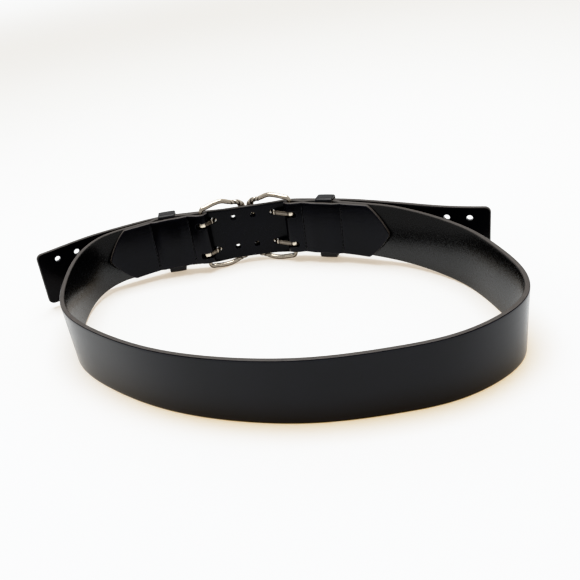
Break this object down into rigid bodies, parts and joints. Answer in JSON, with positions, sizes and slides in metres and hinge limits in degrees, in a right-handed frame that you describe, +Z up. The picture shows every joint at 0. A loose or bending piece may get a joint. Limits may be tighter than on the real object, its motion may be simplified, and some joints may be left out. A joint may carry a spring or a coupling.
{
  "type": "double buckle belt",
  "caption": "Wide leather belt standing on edge, its ends folded round two wire buckles that face each other and fasten to one holed tab, with keeper loops and free tab ends.",
  "frame": {"origin": "Centre of the belt's outline seen from above, on the floor it stands on.", "axes": "+X along the belt from one free end of the tab to the other, +Y towards the buckles, +Z up across the belt's width. The belt stands on its lower edge."},
  "size_m": [0.3916, 0.2814, 0.0671],
  "materials": {
    "strap_leather": "smooth black full grain, satin",
    "tab_leather": "smooth black full grain, satin",
    "keeper_leather": "smooth black, satin",
    "frame_nickel": "nickel plate, satin",
    "prong_nickel": "nickel plate, satin"
  },
  "bodies": {
    "root": {"main_strap": "strap_leather", "centre_tab": "tab_leather", "keeper_left": "keeper_leather", "keeper_right": "keeper_leather", "buckle_frame_left": "frame_nickel", "buckle_frame_right": "frame_nickel", "prong_left_upper": "prong_nickel", "prong_left_lower": "prong_nickel", "prong_right_upper": "prong_nickel", "prong_right_lower": "prong_nickel"}
  },
  "joints": []
}
